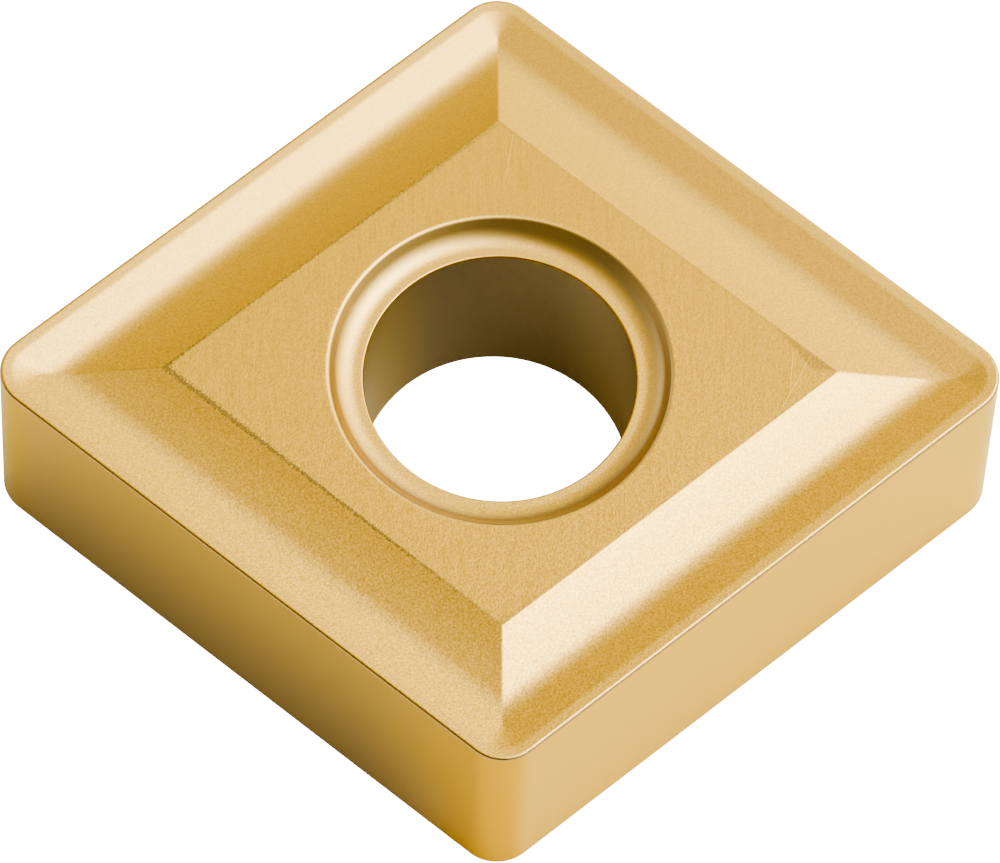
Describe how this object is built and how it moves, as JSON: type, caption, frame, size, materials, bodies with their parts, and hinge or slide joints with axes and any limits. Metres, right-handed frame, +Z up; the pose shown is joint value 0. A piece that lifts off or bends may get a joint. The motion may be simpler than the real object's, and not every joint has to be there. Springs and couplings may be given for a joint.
{
  "type": "carbide insert",
  "caption": "Rhombic double-sided turning insert with rounded noses, a pressed chip-breaker groove round raised flat seats and a countersunk clamping bore.",
  "frame": {"origin": "on the bore's axis, in the plane of the lower seating face", "axes": "+Z up the bore, square to the seats; +X towards one of the two 80 degree cutting corners; +Y towards a 100 degree corner"},
  "size_m": [0.0188, 0.016, 0.0049],
  "materials": {
    "coated_carbide": "satin gold nitride coating on cemented carbide: fine-grained as pressed in the groove, ground on the seats and flanks"
  },
  "bodies": {
    "root": {"insert_body": "coated_carbide"}
  },
  "joints": []
}
